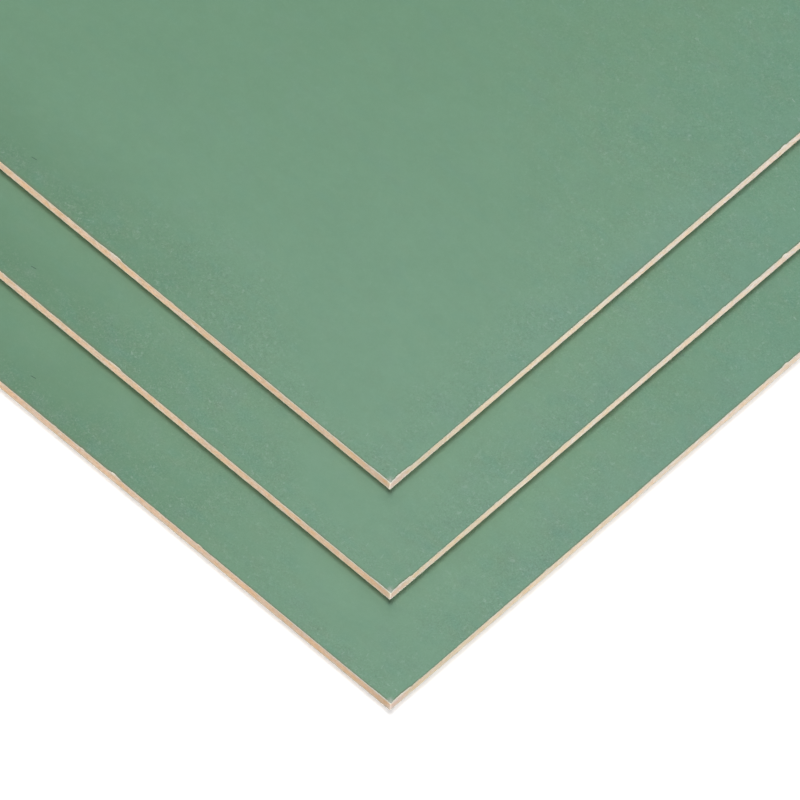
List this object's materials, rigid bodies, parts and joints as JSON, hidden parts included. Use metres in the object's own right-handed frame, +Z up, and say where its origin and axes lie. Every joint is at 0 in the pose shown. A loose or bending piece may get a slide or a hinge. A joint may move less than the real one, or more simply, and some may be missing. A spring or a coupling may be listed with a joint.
{
  "type": "stack of faced fibreboard sheets",
  "caption": "Fanned stack of thin, square medium-density fibreboard sheets with a green faced top and bare edges, each set back from the corner of the one below.",
  "frame": {"origin": "middle of the stack's footprint, on the floor", "axes": "+Z up through the sheets; X and Y along the sheets' edges, with the fanned corner towards +X -Y"},
  "size_m": [0.34, 0.342, 0.009],
  "materials": {
    "green_faced_board": "matte"
  },
  "bodies": {
    "root": {"bottom_sheet": "green_faced_board", "middle_sheet": "green_faced_board", "top_sheet": "green_faced_board"}
  },
  "joints": []
}
